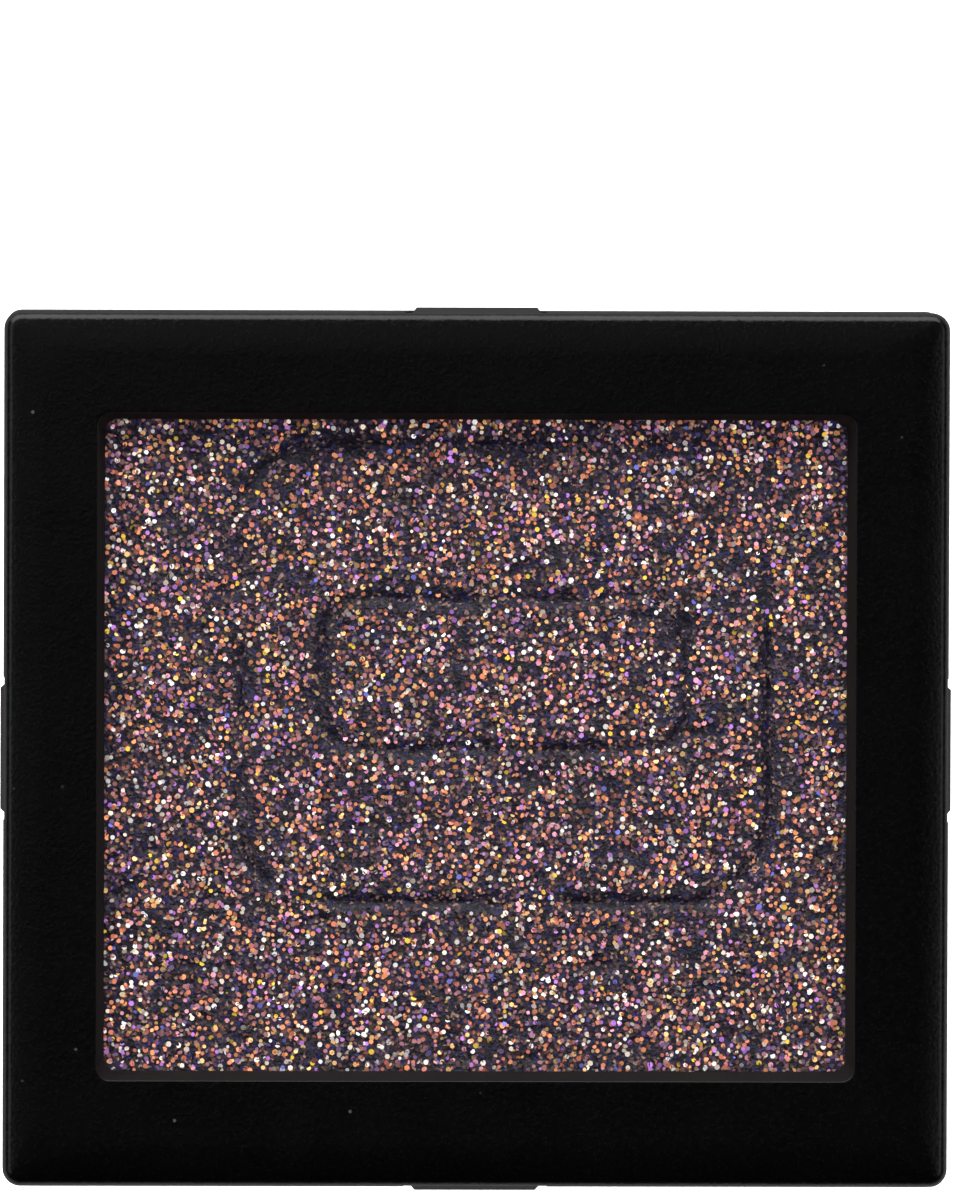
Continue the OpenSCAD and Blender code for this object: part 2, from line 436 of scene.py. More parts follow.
class Shader:
    """A material's node tree, with short calls to add and join nodes."""

    def __init__(self, name):
        self.material = bpy.data.materials.new(name)
        self.material.use_nodes = True
        self.tree = self.material.node_tree
        self.surface = self.tree.nodes["Principled BSDF"]
        self.place = self.add("ShaderNodeTexCoord").outputs["Object"]

    def add(self, kind, settings=None, **inputs):
        """A node with its settings, and its inputs as values or as sockets to join."""
        node = self.tree.nodes.new(kind)
        for key, value in (settings or {}).items():
            setattr(node, key, value)
        for key, value in inputs.items():
            self.put(node.inputs[key.replace("_", " ")], value)
        return node

    def put(self, socket, value):
        if isinstance(value, bpy.types.NodeSocket):
            self.tree.links.new(value, socket)
        else:
            socket.default_value = value

    def set(self, **inputs):
        """Sets or joins inputs of the surface shader."""
        for key, value in inputs.items():
            self.put(self.surface.inputs[key.replace("_", " ")], value)

    def stretched(self, x, y, z):
        """The object's coordinates, stretched along each axis."""
        node = self.add("ShaderNodeMapping", Vector=self.place)
        node.inputs["Scale"].default_value = (x, y, z)
        return node.outputs["Vector"]

    def noise(self, size, detail=3.0, roughness=0.5, place=None):
        """Noise from 0 to 1, with features of that size in millimetres."""
        return self.add("ShaderNodeTexNoise", Vector=place or self.place, Scale=1 / (size * MM),
                        Detail=detail, Roughness=roughness).outputs["Fac"]

    def cells(self, size, feature="F1"):
        """A Voronoi pattern with cells of that size in millimetres."""
        return self.add("ShaderNodeTexVoronoi", {"feature": feature},
                        Vector=self.place, Scale=1 / (size * MM))

    def mapped(self, value, low, high, new_low, new_high):
        return self.add("ShaderNodeMapRange", Value=value, From_Min=low, From_Max=high,
                        To_Min=new_low, To_Max=new_high).outputs["Result"]

    def math(self, operation, first, second):
        node = self.add("ShaderNodeMath", {"operation": operation})
        self.put(node.inputs[0], first)
        self.put(node.inputs[1], second)
        return node.outputs[0]

    def mix(self, factor, first, second, blend="MIX"):
        """One colour mixed with another."""
        node = self.add("ShaderNodeMix", {"data_type": "RGBA", "blend_type": blend})
        self.put(node.inputs[0], factor)
        self.put(node.inputs[6], first)
        self.put(node.inputs[7], second)
        return node.outputs[2]

    def ramp(self, value, stops, interpolation="LINEAR"):
        """A colour ramp with stops of (position, colour)."""
        node = self.add("ShaderNodeValToRGB", Fac=value)
        ramp = node.color_ramp
        ramp.interpolation = interpolation
        while len(ramp.elements) < len(stops):
            ramp.elements.new(1.0)
        for element, (position, colour) in zip(ramp.elements, stops):
            element.position = position
            element.color = colour
        return node.outputs["Color"]

    def bump(self, height, depth, strength=1.0, normal=None):
        """A normal from a height of 0 to 1 that stands for depth millimetres."""
        node = self.add("ShaderNodeBump", Height=height, Distance=depth * MM, Strength=strength)
        if normal:
            self.put(node.inputs["Normal"], normal)
        return node.outputs["Normal"]


def moulded_plastic(name, colour, sheen_colour, grain, roughness):
    """Matte moulded plastic: fine grain, soft mottling, a few dust specks, and rougher upright walls."""
    s = Shader(name)
    mottle = s.noise(2.5, 4.0)
    fine = s.noise(grain, 3.0, 0.6)
    body = s.mix(s.mapped(mottle, 0.35, 0.65, 0.0, 1.0), colour, sheen_colour)
    body = s.mix(s.mapped(fine, 0.3, 0.7, 0.0, 0.6), body, sheen_colour)
    speck = s.mapped(s.cells(DUST_CELL).outputs["Distance"], 0.03, 0.06, 0.8, 0.0)
    speck = s.math("MULTIPLY", speck, s.mapped(s.noise(3.0, 1.0), 0.5, 0.56, 0.0, 1.0))
    s.set(Base_Color=s.mix(speck, body, srgb(*DUST)), Specular_IOR_Level=PLASTIC_GLOSS)
    facing = s.add("ShaderNodeNewGeometry").outputs["True Normal"]
    upward = s.add("ShaderNodeSeparateXYZ", Vector=facing).outputs["Z"]
    drawn = s.mapped(upward, 0.2, 0.6, WALL_ROUGHNESS, roughness)
    s.set(Roughness=s.math("ADD", drawn, s.mapped(fine, 0.25, 0.75, -0.05, 0.05)))
    coarse = s.bump(s.noise(grain * 4, 2.0), 0.003)
    s.set(Normal=s.bump(fine, 0.01, normal=coarse))
    return s.material


def drawn_aluminium():
    """Thin rolled and drawn aluminium: fine lines along X and faint dull patches."""
    s = Shader("drawn_aluminium")
    lines = s.noise(0.05, 4.0, 0.6, s.stretched(0.03, 1.0, 1.0))
    patches = s.noise(3.0, 3.0)
    s.set(Metallic=1.0)
    s.set(Base_Color=s.mix(patches, srgb(196, 197, 200), srgb(224, 223, 220)))
    s.set(Roughness=s.mapped(s.math("ADD", lines, patches), 0.6, 1.4, 0.26, 0.48))
    s.set(Normal=s.bump(lines, 0.004))
    return s.material


def pressed_powder():
    """Dark plum binder crowded with small dull platelets."""
    s = Shader("pressed_powder")
    platelets = s.cells(0.09)
    tone = s.add("ShaderNodeSeparateColor", Color=platelets.outputs["Color"])
    dull = s.ramp(tone.outputs["Red"], (
        (0.0, srgb(9, 7, 14)),
        (0.3, srgb(20, 16, 30)),
        (0.5, srgb(38, 30, 42)),
        (0.66, srgb(26, 26, 66)),
        (0.8, srgb(70, 54, 56)),
        (0.93, srgb(132, 104, 92)),
    ), "CONSTANT")
    clump = s.mapped(s.noise(0.7, 3.0), 0.35, 0.65, 0.0, 1.0)
    body = s.mix(clump, s.mix(0.6, dull, srgb(8, 7, 14)), dull)
    s.set(Base_Color=body)
    s.set(Roughness=s.mapped(tone.outputs["Green"], 0.0, 1.0, 0.42, 0.75))
    grain = s.bump(s.noise(0.05, 3.0), 0.02)
    s.set(Normal=s.bump(platelets.outputs["Distance"], 0.03, normal=grain))
    return s.material


def glitter(name, families, metallic, roughness):
    """Glitter film: each flake takes one colour family by its tone, times its painted glint, a brightness
    painted into its colour for the light it catches, on top of the real reflection of its metal.
    """
    s = Shader(name)
    tone = s.add("ShaderNodeAttribute", {"attribute_name": "tone"}).outputs["Fac"]
    shade = s.add("ShaderNodeAttribute", {"attribute_name": "shade"}).outputs["Fac"]
    total = sum(share for share, _ in families)
    stops = []
    reached = 0.0
    for share, colour in families:
        stops.append((reached / total, srgb(*colour)))
        reached += share
    film = s.ramp(tone, stops, "CONSTANT")
    # Painted glint: the flake's colour is scaled by the brightness painted in for the light it catches
    dim = s.add("ShaderNodeCombineColor", Red=shade, Green=shade, Blue=shade).outputs["Color"]
    film = s.mix(1.0, film, dim, "MULTIPLY")
    ripple = s.mapped(s.noise(0.04, 2.0), 0.3, 0.7, 0.0, 0.2)
    s.set(Base_Color=s.mix(ripple, film, srgb(90, 70, 84)))
    s.set(Metallic=metallic)
    s.set(Roughness=s.mapped(s.noise(0.1, 2.0), 0.3, 0.7, roughness - 0.06, roughness + 0.08))
    return s.material


def adhesive_foam():
    """Pale open-cell foam tape."""
    s = Shader("adhesive_foam")
    pores = s.cells(0.09).outputs["Distance"]
    depth = s.mapped(pores, 0.1, 0.5, 0.0, 1.0)
    s.set(Base_Color=s.mix(depth, srgb(226, 224, 218), srgb(172, 170, 166)))
    s.set(Roughness=s.mapped(s.noise(0.3), 0.3, 0.7, 0.78, 0.92))
    s.set(Normal=s.bump(pores, 0.05))
    return s.material


def label_paper():
    """Plain white paper with short fibres and a faint coating."""
    s = Shader("label_paper")
    along = s.noise(0.06, 4.0, 0.6, s.stretched(0.25, 1.0, 1.0))
    across = s.noise(0.05, 4.0, 0.6, s.stretched(1.0, 0.3, 1.0))
    fibres = s.math("MULTIPLY", along, across)
    coverage = s.mapped(fibres, 0.12, 0.4, 0.0, 1.0)
    s.set(Base_Color=s.mix(coverage, srgb(214, 211, 203), srgb(242, 240, 235)))
    s.set(Roughness=s.mapped(fibres, 0.1, 0.4, 0.7, 0.5))
    s.set(Normal=s.bump(fibres, 0.012))
    return s.material


# Colour families of the glitter, each with its share of the flakes. The near-white and cream families of the
# bright layer are partly painted glint.
BRIGHT_FILM = (
    (14, (168, 112, 112)),
    (10, (124, 96, 142)),
    (14, (214, 122, 92)),
    (15, (255, 160, 106)),
    (9, (238, 158, 180)),
    (5, (190, 124, 220)),
    (10, (255, 204, 128)),
    (3, (250, 206, 60)),
    (14, (255, 238, 220)),
    (7, (255, 255, 255)),
    (2, (104, 110, 204)),
)
DULL_FILM = (
    (26, (18, 14, 28)),
    (20, (40, 30, 48)),
    (14, (84, 60, 70)),
    (15, (32, 32, 92)),
    (15, (136, 90, 80)),
    (10, (96, 84, 60)),
)

frame_plastic = moulded_plastic("frame_plastic", srgb(0.5, 0.4, 0.8), srgb(1.6, 1.3, 2), 0.11, 0.25)
tray_plastic = moulded_plastic("tray_plastic", srgb(7, 6, 8), srgb(14, 13, 16), 0.16, 0.5)
aluminium = drawn_aluminium()
powder = pressed_powder()
bright_film = glitter("bright_glitter", BRIGHT_FILM, 0.35, 0.34)
dull_film = glitter("dull_glitter", DULL_FILM, 0.5, 0.4)
foam = adhesive_foam()
paper = label_paper()


# ---------- top frame ----------

OPEN_W = BODY_W - 2 * SIDE_BORDER
OPEN_D = BODY_D - FRONT_BORDER - BACK_BORDER
OPEN_Y = (FRONT_BORDER - BACK_BORDER) / 2
LIP_OPEN_W = OPEN_W - 2 * OPENING_DRAFT
LIP_OPEN_D = OPEN_D - 2 * OPENING_DRAFT
LIP_Z = TRAY_H - LIP_DROP
# Each side's turn about Z, its distance from the middle, and half its length
SIDES = ((0, BODY_W / 2, BODY_D / 2), (90, BODY_D / 2, BODY_W / 2),
         (180, BODY_W / 2, BODY_D / 2), (270, BODY_D / 2, BODY_W / 2))
PEG_X = BODY_W / 2 - PEG_INSET
PEG_Y = BODY_D / 2 - PEG_INSET
PEGS = [(sx * PEG_X, sy * PEG_Y) for sx in (-1, 1) for sy in (-1, 1)]


def frame_face_rings(start):
    """The border's face: a soft fall towards the outer rounding, then flat to the opening."""
    rings = []
    outer = (BODY_W - 2 * start, BODY_D - 2 * start, 0.0)
    inner = (OPEN_W + 2 * OPENING_EDGE_R, OPEN_D + 2 * OPENING_EDGE_R, OPEN_Y)
    blend = BLEND_W / SIDE_BORDER
    for t in [blend * i / BLEND_STEPS for i in range(1, BLEND_STEPS + 1)] + [FACE_END, 1.0]:
        w, d, y = (a + (b - a) * t for a, b in zip(outer, inner))
        if t <= blend:
            r = CORNER_R - start + (BLEND_CORNER_R - CORNER_R + start) * t / blend
        else:
            r = OPENING_R + OPENING_EDGE_R
        rings.append((rounded_rectangle(w, d, r, y), BODY_TOP - BLEND_DROP * max(1 - t / blend, 0) ** 2))
    return rings


def frame_ring():
    """The moulded border with its rounded edges, drafted opening and inner lip."""
    slope = math.atan(2 * BLEND_DROP / BLEND_W)
    edge_z = BODY_TOP - BLEND_DROP - EDGE_R * math.cos(slope)
    outer = [(UNDER_EDGE_R, TRAY_H), (0, TRAY_H + UNDER_EDGE_R)]
    outer += arc(EDGE_R, edge_z, EDGE_R, 180, 90 + math.degrees(slope), 9)
    rings = inset_rings(BODY_W, BODY_D, CORNER_R, outer)
    rings += frame_face_rings(outer[-1][0])
    opening_edge = arc(-OPENING_EDGE_R, BODY_TOP - OPENING_EDGE_R, OPENING_EDGE_R, 90, 0, 5)[1:]
    rings += inset_rings(OPEN_W, OPEN_D, OPENING_R, opening_edge, OPEN_Y)
    lip_edge = arc(-LIP_EDGE_R, LIP_Z + LIP_EDGE_R, LIP_EDGE_R, 0, -90, 3)
    rings += inset_rings(LIP_OPEN_W, LIP_OPEN_D, OPENING_R, lip_edge, OPEN_Y)
    lip_outer = [(-LIP_W, LIP_Z), (-LIP_W, TRAY_H)]
    rings += inset_rings(LIP_OPEN_W, LIP_OPEN_D, OPENING_R, lip_outer, OPEN_Y)
    return loft(rings, closed=True)


def frame_peg(x, y):
    tip = [(PEG_R - PEG_CHAMFER, PEG_Z), (PEG_R, PEG_Z + PEG_CHAMFER), (PEG_R, TRAY_H + OVER)]
    return lathe(tip, x, y)


def frame_locators(turn, half, run):
    """Two short walls under one side of the frame."""
    outer = half - SIDE_INSET - WALL_T - RIM_GAP
    start = WINDOW_W / 2 + LOCATOR_GAP
    end = run - PEG_INSET - (PEG_R + PEG_GAP + POST_WALL) - LOCATOR_GAP
    spans = ((start, end), (-end, -start))
    return [block(outer - LOCATOR_T, outer, a, b, TRAY_H - LOCATOR_H, TRAY_H + OVER, turn) for a, b in spans]


def frame_pockets(turn, half):
    """The pocket for one finger's free end, and the shallow notch beside its bead."""
    flex_room = (FINGER_TOP - HINGE_Z) * math.sin(FLEX) + FLEX_GAP
    depth = FINGER_MID + FINGER_T / 2 + flex_room
    w = WINDOW_W / 2
    pocket = block(half - depth, half + OVER, -w, w, LIP_Z - OVER, BODY_TOP - SKIN_T, turn)
    notch = block(half - NOTCH_IN, half + OVER, -w, w, LIP_Z - OVER, BODY_TOP + OVER, turn)
    return [pocket, notch]


def build_frame():
    solids = [frame_peg(x, y) for x, y in PEGS]
    cuts = []
    for turn, half, run in SIDES:
        solids += frame_locators(turn, half, run)
        cuts += frame_pockets(turn, half)
    moulding = combined(frame_ring(), solids, "UNION")
    moulding = combined(moulding, cuts, "DIFFERENCE")
    obj = piece("frame_moulding", softened(moulding), "frame", "frame_plastic", frame_plastic, "top_frame")
    return smooth(obj)


# ---------- tray ----------

POCKET_W = cake_high.x - cake_low.x + 2 * (PAN_WALL + POCKET_GAP)
POCKET_D = cake_high.y - cake_low.y + 2 * (PAN_WALL + POCKET_GAP)
POCKET_R = PAN_R + PAN_WALL + POCKET_GAP


def tray_shell():
    """Floor and outer walls, with rounded edges below and small ones at the top."""
    outer = arc(BASE_EDGE_R, BASE_EDGE_R, BASE_EDGE_R, 270, 180, 6)
    outer += arc(WALL_EDGE_R, TRAY_H - WALL_EDGE_R, WALL_EDGE_R, 180, 90, 3)
    rings = inset_rings(TRAY_W, TRAY_D, TRAY_R, outer)
    inner = arc(-WALL_EDGE_R, TRAY_H - WALL_EDGE_R, WALL_EDGE_R, 90, 0, 3)
    inner += [(inset, FLOOR_T + z) for inset, z in CAVITY_FILLET]
    rings += inset_rings(TRAY_W - 2 * WALL_T, TRAY_D - 2 * WALL_T, CAVITY_R, inner)
    return loft(rings)


def pocket_ring():
    """The low wall that locates the pan."""
    top = FLOOR_T + POCKET_H
    r = POCKET_WALL / 4
    profile = [(0, FLOOR_T - OVER)] + arc(-r, top - r, r, 0, 90, 3)
    profile += arc(r - POCKET_WALL, top - r, r, 90, 180, 3) + [(-POCKET_WALL, FLOOR_T - OVER)]
    return loft(inset_rings(POCKET_W, POCKET_D, POCKET_R, profile, OPEN_Y), closed=True)


def socket_post(x, y):
    r = PEG_R + PEG_GAP + POST_WALL
    top = TRAY_H - POST_GAP
    return lathe([(r, FLOOR_T - OVER), (r, top - POST_CHAMFER), (r - POST_CHAMFER, top)], x, y)


def socket_hole(x, y):
    r = PEG_R + PEG_GAP
    top = TRAY_H - POST_GAP
    flare, drop = SOCKET_LEAD
    return lathe([(r, PEG_Z - PEG_TIP_GAP), (r, top - drop), (r + flare, top + OVER)], x, y)


def push_hole():
    """Through hole with a flared edge on the underside of the floor."""
    r = PUSH_HOLE_R
    f = PUSH_HOLE_FLARE
    below = [(r + f - f * math.sin(a), f - f * math.cos(a)) for a in np.radians(FLARE_ANGLES)]
    return lathe([(r + f, -OVER)] + below + [(r, FLOOR_T + OVER)])


def gate_dimple():
    """Shallow dish with the moulding gate's nib left standing in it."""
    across, down = GATE_CHAMFER
    nib = [(GATE_NIB_R, -OVER * 2), (GATE_NIB_R, GATE_DEPTH * 0.4), (GATE_NIB_R * 0.8, GATE_DEPTH + OVER)]
    dish = lathe([(GATE_R, -OVER), (GATE_R, GATE_DEPTH - down), (GATE_R - across, GATE_DEPTH)], 0, GATE_Y)
    return combined(dish, [lathe(nib, 0, GATE_Y)], "DIFFERENCE")


def label_recess():
    middle = (label_low + label_high) / 2
    w = label_high.x - label_low.x + 2 * LABEL_GAP
    d = label_high.y - label_low.y + 2 * LABEL_GAP
    solid = loft(inset_rings(w, d, LABEL_R + LABEL_GAP, [(0, -OVER), (0, LABEL_DEPTH)]))
    solid.transform(Matrix.Translation((0, middle.y, 0)))
    return solid


def finger_window(turn, half):
    """Room for one finger in the tray's wall, down to its hinge groove."""
    inner = half - SIDE_INSET - WALL_T - OVER
    w = WINDOW_W / 2
    opening = block(inner, half + OVER, -w, w, HINGE_Z, TRAY_H + OVER, turn)
    return [opening, groove_rod(GROOVE_R, half - FINGER_MID, HINGE_Z, WINDOW_W, turn)]


def ejector_marks():
    """Four shallow round marks under the floor, where ejector pins pushed."""
    profile = [(EJECTOR_R, -OVER), (EJECTOR_R, EJECTOR_DEPTH)]
    mark_x = TRAY_W / 2 - EJECTOR_INSET
    mark_y = TRAY_D / 2 - EJECTOR_INSET
    return [lathe(profile, x, y) for x in (-mark_x, mark_x) for y in (mark_y, 0)]


def build_tray():
    cuts = [socket_hole(x, y) for x, y in PEGS] + [push_hole(), gate_dimple(), label_recess()]
    cuts += ejector_marks()
    for turn, half, _ in SIDES:
        cuts += finger_window(turn, half)
    tray = combined(tray_shell(), [pocket_ring()] + [socket_post(x, y) for x, y in PEGS], "UNION")
    tray = softened(combined(tray, cuts, "DIFFERENCE"))
    return smooth(piece("tray_moulding", tray, "tray", "tray_plastic", tray_plastic, "base_tray"))


# ---------- pan and powder ----------

def build_pan():
    """Drawn pan with a rounded base, thin wall and a rolled-over flange."""
    flange_w = pan_high.x - pan_low.x
    flange_d = pan_high.y - pan_low.y
    wall = PAN_FLANGE
    top = pan_high.z
    rim_r = PAN_RIM_T / 2
    base = arc(wall + PAN_BASE_R, pan_low.z + PAN_BASE_R, PAN_BASE_R, 270, 180, 6)
    under = arc(wall - PAN_NECK_R, top - PAN_RIM_T - PAN_NECK_R, PAN_NECK_R, 0, 90, 3)
    rolled = arc(rim_r, top - rim_r, rim_r, 270, 90, 8)
    outside = base + under + rolled
    inner = arc(wall + PAN_WALL - PAN_LIP_R, top - PAN_LIP_R, PAN_LIP_R, 90, 0, 4)
    inner += arc(wall + PAN_WALL + PAN_FLOOR_R, cake_low.z + PAN_FLOOR_R, PAN_FLOOR_R, 180, 270, 4)
    pan_r = PAN_R + PAN_WALL + PAN_FLANGE
    pan = loft(inset_rings(flange_w, flange_d, pan_r, outside + inner, OPEN_Y))
    return smooth(piece("pan_godet", pan, "pan", "pan_metal", aluminium, "pan"))


def outline_gap(x, y):
    """Distance from (x, y) to the nearest pressed outline."""
    gaps = []
    for w, d, r in PRESS_OUTLINES:
        dx = abs(x - PRESS_X) - (w / 2 - r)
        dy = abs(y - PRESS_Y) - (d / 2 - r)
        gaps.append(abs(math.hypot(max(dx, 0), max(dy, 0)) + min(max(dx, dy), 0) - r))
    return min(gaps)


def pressed(x, y, half):
    """How far (x, y) lies into the pressed pattern, from 0 to 1, worn away in places."""
    worn = noise.noise(Vector((x * 0.5, y * 0.5, 4.0)))
    wander = PRESS_WANDER * noise.noise(Vector((x * 1.3, y * 1.3, 9.0)))
    line = math.exp(-((outline_gap(x, y) + wander) / half) ** 2)
    return line * min(max(WORN_MIDDLE + WORN_SWING * worn, WORN_LEAST), 1.0)


def crowding(x, y):
    """How crowded the glitter is at (x, y), from about -1 to 1."""
    return noise.noise(Vector((x * 1.1, y * 1.3, 41.0))) + 0.6 * noise.noise(Vector((x * 2.7, y * 2.4, 23.0)))


def pits(x, y):
    """Small torn pits in the powder, from 0 to 1."""
    torn = noise.noise(Vector((x * 0.9, y * 1.4, 17.0)))
    return min(max((torn - PIT_START) / PIT_RISE, 0.0), 1.0)


def powder_height(x, y):
    """Height of the powder's face at (x, y)."""
    swell = SWELL * noise.noise(Vector((x * 0.3, y * 0.3, 2.0)))
    grain = GRAIN * noise.noise(Vector((x * 2.6, y * 2.6, 5.0)))
    dents = PRESS_DEPTH * pressed(x, y, PRESS_HALF) + PIT_DEPTH * pits(x, y)
    return cake_high.z - CAKE_DROP + swell + grain - dents


def cake_rows():
    """Y values across the powder, closer together round the corners."""
    half = (cake_high.y - cake_low.y) / 2 - CAKE_GAP
    straight = half - PAN_R
    curve = [straight + PAN_R * math.sin(math.pi / 2 * i / CAKE_CORNER_ROWS)
             for i in range(1, CAKE_CORNER_ROWS + 1)]
    count = round(2 * straight / CAKE_STEP)
    middle = [-straight + 2 * straight * i / count for i in range(count + 1)]
    return [-y for y in reversed(curve)] + middle + curve


def cake_half_width(y):
    """Half the powder's width at y, where its corners are round."""
    half_w = (cake_high.x - cake_low.x) / 2 - CAKE_GAP
    half_d = (cake_high.y - cake_low.y) / 2 - CAKE_GAP
    past = min(max(abs(y) - (half_d - PAN_R), 0), PAN_R)
    return half_w - PAN_R + math.sqrt(PAN_R ** 2 - past ** 2)


def build_cake():
    """The pressed powder: an uneven face on a closed block that fills the pan."""
    rows = cake_rows()
    columns = round((cake_high.x - cake_low.x) / CAKE_STEP)
    mesh = bmesh.new()
    grid = []
    for y in rows:
        half = cake_half_width(y)
        xs = [half * (2 * i / columns - 1) for i in range(columns + 1)]
        grid.append([mesh.verts.new((x, y, powder_height(x, y))) for x in xs])
    for low, high in zip(grid, grid[1:]):
        for i in range(columns):
            mesh.faces.new((low[i], low[i + 1], high[i + 1], high[i]))
    right = [row[-1] for row in grid[1:-1]]
    left = [row[0] for row in grid[-2:0:-1]]
    rim = grid[0] + right + grid[-1][::-1] + left
    base = [mesh.verts.new((v.co.x, v.co.y, cake_low.z)) for v in rim]
    for i in range(len(rim)):
        j = (i + 1) % len(rim)
        mesh.faces.new((rim[j], rim[i], base[i], base[j]))
    mesh.faces.new(base)
    bmesh.ops.recalc_face_normals(mesh, faces=mesh.faces)
    cake = bpy.data.meshes.new("cake")
    mesh.to_mesh(cake)
    mesh.free()
    cake.transform(Matrix.Translation((0, OPEN_Y, 0)))
    obj = piece("pressed_powder", cake, "pan", "glitter_powder", powder, "powder_cake")
    return smooth(obj, CAKE_CREASE)


def flake_spots(rng, cell, avoid):
    """Scattered places for flakes on the powder: fewer where it is pressed in or torn."""
    half_w = (cake_high.x - cake_low.x) / 2
    half_d = (cake_high.y - cake_low.y) / 2
    spots = []
    for y0 in np.arange(-half_d, half_d, cell):
        for x0 in np.arange(-half_w, half_w, cell):
            x = x0 + cell * (0.5 + FLAKE_SCATTER * (rng.random() - 0.5))
            y = y0 + cell * (0.5 + FLAKE_SCATTER * (rng.random() - 0.5))
            keep = rng.random()
            if abs(y) > half_d - FLAKE_MARGIN or abs(x) > cake_half_width(y) - FLAKE_MARGIN:
                continue
            bare = max(PRESS_BARE * pressed(x, y, PRESS_EDGE), pits(x, y), -SPARSE * crowding(x, y))
            if keep > avoid * bare:
                spots.append((x, y))
    return np.array(spots)


def flake_points(rng, spots, radii, tilt, lift):
    """Seven points a flake: six round its edge, and a shallow tip below."""
    count = len(spots)
    size = rng.uniform(*radii, count)
    lean = np.radians(np.minimum(np.abs(rng.normal(0, tilt, count)), FLAKE_MAX_TILT))
    face = rng.uniform(0, 2 * np.pi, count)
    spin = rng.uniform(0, np.pi / 3, count)
    height = np.array([powder_height(x, y) for x, y in spots])
    centre = np.column_stack((spots, height + lift * rng.uniform(0.2, 1.0, count)))
    along = np.column_stack((np.cos(face) * np.cos(lean), np.sin(face) * np.cos(lean), -np.sin(lean)))
    across = np.column_stack((-np.sin(face), np.cos(face), np.zeros(count)))
    turns = spin[:, None] + np.arange(FLAKE_SIDES) * np.pi / 3
    ring = centre[:, None, :] + size[:, None, None] * (
        np.cos(turns)[..., None] * along[:, None, :] + np.sin(turns)[..., None] * across[:, None, :])
    tip = centre - FLAKE_DEPTH * np.cross(along, across)
    return np.concatenate((ring, tip[:, None, :]), axis=1).reshape(-1, 3)


def flake_shades(rng, spots):
    """Each flake's painted glint, a brightness painted into its colour for the light it catches: most are
    painted bright, and crowded places brighter.
    """
    crowd = np.array([crowding(x, y) for x, y in spots])
    own = 1 - GLINT_SPREAD * rng.random(len(spots)) ** GLINT_POWER
    return own * np.clip(GLINT_MIDDLE + GLINT_SWING * crowd, *GLINT_LIMITS)


def flake_cells(mesh, count):
    """Bake coordinates that give each flake a small square of its own."""
    side = math.ceil(math.sqrt(count))
    turns = np.arange(FLAKE_SIDES) * np.pi / 3
    local = np.column_stack((0.5 + FLAKE_UV_R * np.cos(turns), 0.5 + FLAKE_UV_R * np.sin(turns)))
    local = np.vstack((local, (0.5, 0.5)))
    corners = list(range(FLAKE_SIDES))
    for i in range(FLAKE_SIDES):
        corners += [(i + 1) % FLAKE_SIDES, i, FLAKE_SIDES]
    cell = np.array([(i % side, i // side) for i in range(count)])
    uv = (cell[:, None, :] + local[corners][None, :, :]) / side
    mesh.uv_layers.new(name="OFBake").data.foreach_set("uv", uv.ravel())


def build_flakes(name, seed, cell, avoid, radii, tilt, lift, material):
    """One layer of glitter: thin hexagonal plates, each closed by a shallow point below."""
    rng = np.random.default_rng(seed)
    spots = flake_spots(rng, cell, avoid)
    count = len(spots)
    points = flake_points(rng, spots, radii, tilt, lift)
    faces = []
    for first in range(0, len(points), FLAKE_SIDES + 1):
        tip = first + FLAKE_SIDES
        faces.append(tuple(range(first, tip)))
        faces += [(first + (i + 1) % FLAKE_SIDES, first + i, tip) for i in range(FLAKE_SIDES)]
    mesh = bpy.data.meshes.new(name)
    mesh.from_pydata(points.tolist(), [], faces)
    # Painted glint: each flake's brightness, painted into its colour for the light it catches
    shade = flake_shades(rng, spots)
    tone = rng.random(count)
    for key, values in (("tone", tone), ("shade", shade)):
        every_face = np.repeat(values, FLAKE_SIDES + 1)
        mesh.attributes.new(key, "FLOAT", "FACE").data.foreach_set("value", every_face)
    flake_cells(mesh, count)
    mesh.transform(Matrix.Translation((0, OPEN_Y, 0)))
    return piece(name, mesh, "pan", "glitter_powder", material)


# ---------- build ----------

build_frame()
build_tray()
build_pan()
build_cake()
build_flakes("dull_glitter", DULL_SEED, DULL_CELL, DULL_AVOID, DULL_R, DULL_TILT, DULL_LIFT, dull_film)
build_flakes("bright_glitter", FLAKE_SEED, FLAKE_CELL, FLAKE_AVOID, FLAKE_R, FLAKE_TILT, FLAKE_LIFT,
             bright_film)
for side_name in ("front", "back", "left", "right"):
    dress("finger_" + side_name, tray_plastic, FINGER_EDGE_R)
for side_name in ("left", "right"):
    dress("adhesive_pad_" + side_name, foam, PAD_EDGE_R)
dress("rear_label", paper, LABEL_EDGE_R)


# ---------- floor, light and camera, in metres and degrees ----------

FLOOR_HALF = 3.0
FLOOR_GLOW = 0.9
FLOOR_GAP = 0.00002
# Brightness of the surroundings, by the sine of the angle above the horizon
SKY = ((0.0, 0.85), (0.06, 0.75), (0.16, 0.12), (0.5, 0.02), (1.0, 0.0))
# The camera: its place over the frame's top, the point it looks at, and the height it takes in there
VIEW_DISTANCE = 0.55
VIEW_X = -0.0135
VIEW_Y = 0.026
AIM_X = 0.0
AIM_Y = 0.00474
VIEW_ROLL = 0.19
FIELD_HEIGHT = 0.03651
CLIP = (0.01, 20)
# The sensor's longer side, in millimetres as Blender takes it
SENSOR = 36.0


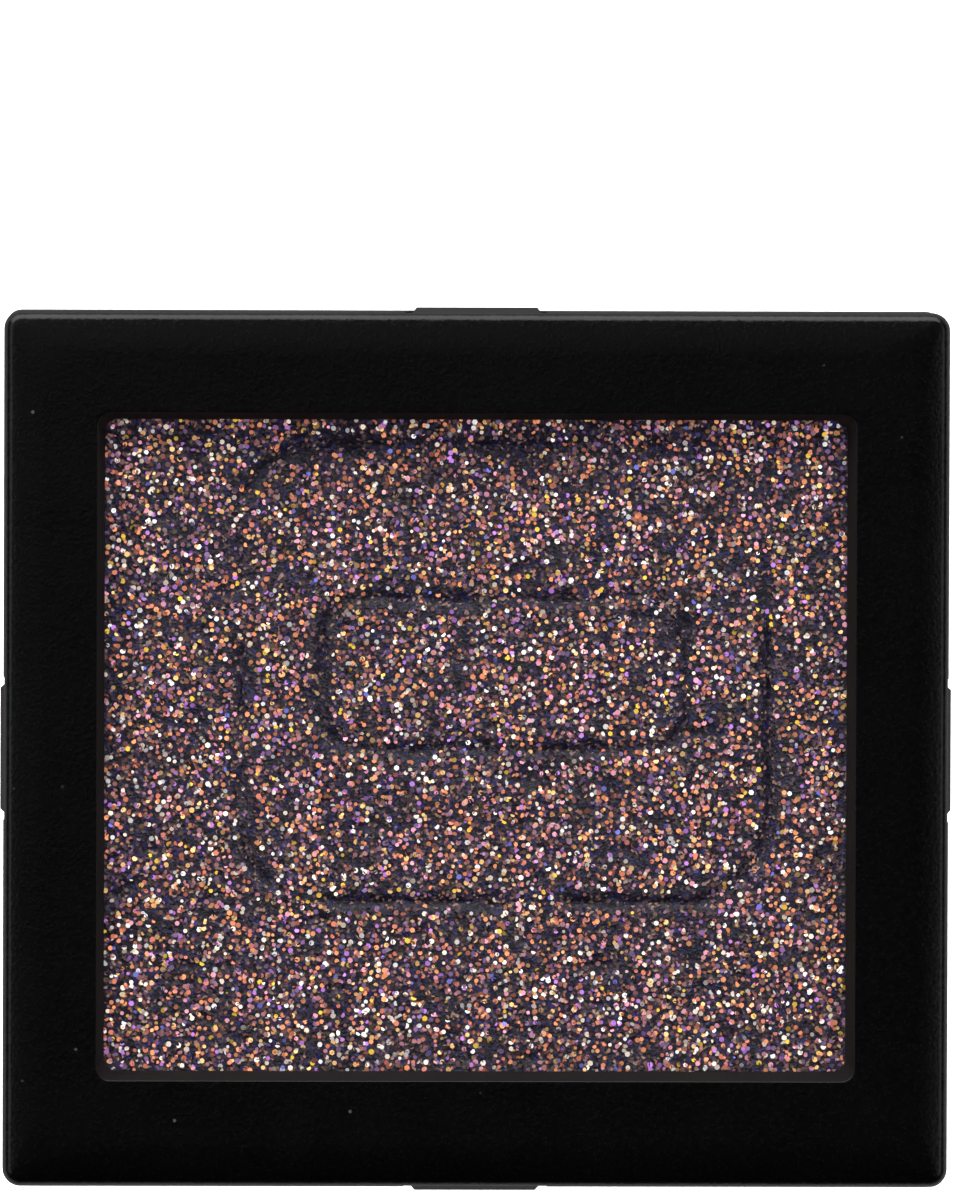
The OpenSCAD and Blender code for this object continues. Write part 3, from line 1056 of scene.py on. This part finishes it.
def build_floor():
    """A pale floor, bright enough to stay white under the object."""
    points = [(x * FLOOR_HALF, y * FLOOR_HALF, -FLOOR_GAP) for x, y in ((-1, -1), (1, -1), (1, 1), (-1, 1))]
    mesh = bpy.data.meshes.new("floor")
    mesh.from_pydata(points, [], [(0, 1, 2, 3)])
    s = Shader("floor")
    s.set(Base_Color=s.mix(s.noise(20, 2.0), srgb(250, 250, 250), srgb(255, 255, 255)))
    s.set(Roughness=0.9)
    s.set(Emission_Color=srgb(255, 255, 255), Emission_Strength=FLOOR_GLOW)
    mesh.materials.append(s.material)
    floor = bpy.data.objects.new("floor", mesh)
    floor.visible_glossy = False
    bpy.context.scene.collection.objects.link(floor)


def softbox(name, azimuth, elevation, distance, width, height, radiance, in_gloss=True):
    """A soft panel that faces the object. Azimuth 0 is at +Y, 90 at +X. Sizes in metres."""
    a, e = math.radians(azimuth), math.radians(elevation)
    toward = Vector((math.sin(a) * math.cos(e), math.cos(a) * math.cos(e), math.sin(e)))
    light = bpy.data.lights.new(name, "AREA")
    light.shape = "RECTANGLE"
    light.size = width
    light.size_y = height
    light.energy = radiance * math.pi * width * height
    panel = bpy.data.objects.new(name, light)
    panel.location = toward * distance
    panel.rotation_euler = toward.to_track_quat("Z", "Y").to_euler()
    panel.visible_camera = False
    panel.visible_glossy = in_gloss
    bpy.context.scene.collection.objects.link(panel)


def build_world():
    """Dim studio surroundings: dark overhead, and pale round the horizon."""
    world = bpy.data.worlds.new("studio")
    bpy.context.scene.world = world
    world.use_nodes = True
    nodes, links = world.node_tree.nodes, world.node_tree.links
    direction = nodes.new("ShaderNodeTexCoord").outputs["Generated"]
    parts = nodes.new("ShaderNodeSeparateXYZ")
    ramp = nodes.new("ShaderNodeValToRGB")
    links.new(direction, parts.inputs[0])
    links.new(parts.outputs["Z"], ramp.inputs["Fac"])
    while len(ramp.color_ramp.elements) < len(SKY):
        ramp.color_ramp.elements.new(1.0)
    for element, (place, value) in zip(ramp.color_ramp.elements, SKY):
        element.position = place
        element.color = (value, value, value, 1)
    links.new(ramp.outputs["Color"], nodes["Background"].inputs["Color"])


def build_camera():
    """Looks almost straight down, from slightly behind and left of the object's middle."""
    camera = bpy.data.objects.new("camera", bpy.data.cameras.new("camera"))
    bpy.context.scene.collection.objects.link(camera)
    top = BODY_TOP * MM
    camera.location = (VIEW_X, VIEW_Y, top + VIEW_DISTANCE)
    tilt = math.atan2(AIM_Y - VIEW_Y, VIEW_DISTANCE)
    lean = math.atan2(VIEW_X - AIM_X, VIEW_DISTANCE)
    turn = Matrix.Rotation(lean, 4, "Y") @ Matrix.Rotation(tilt, 4, "X")
    turn @= Matrix.Rotation(math.radians(VIEW_ROLL), 4, "Z")
    camera.rotation_euler = turn.to_euler()
    camera.data.sensor_width = SENSOR
    camera.data.lens = SENSOR * VIEW_DISTANCE / math.cos(tilt) / FIELD_HEIGHT
    camera.data.clip_start, camera.data.clip_end = CLIP
    bpy.context.scene.camera = camera


build_floor()
build_world()
softbox("key", -10, 33, 0.40, 0.60, 0.36, 3.7)
softbox("left_fill", -90, 50, 0.45, 0.30, 0.20, 1.0)
softbox("right_fill", 90, 50, 0.45, 0.30, 0.20, 1.0)
softbox("overhead", 0, 90, 0.40, 0.30, 0.30, 7.6, in_gloss=False)
softbox("sheen", -35, 80, 0.60, 0.20, 0.16, 0.32)
build_camera()
bpy.context.scene.view_settings.view_transform = "Standard"
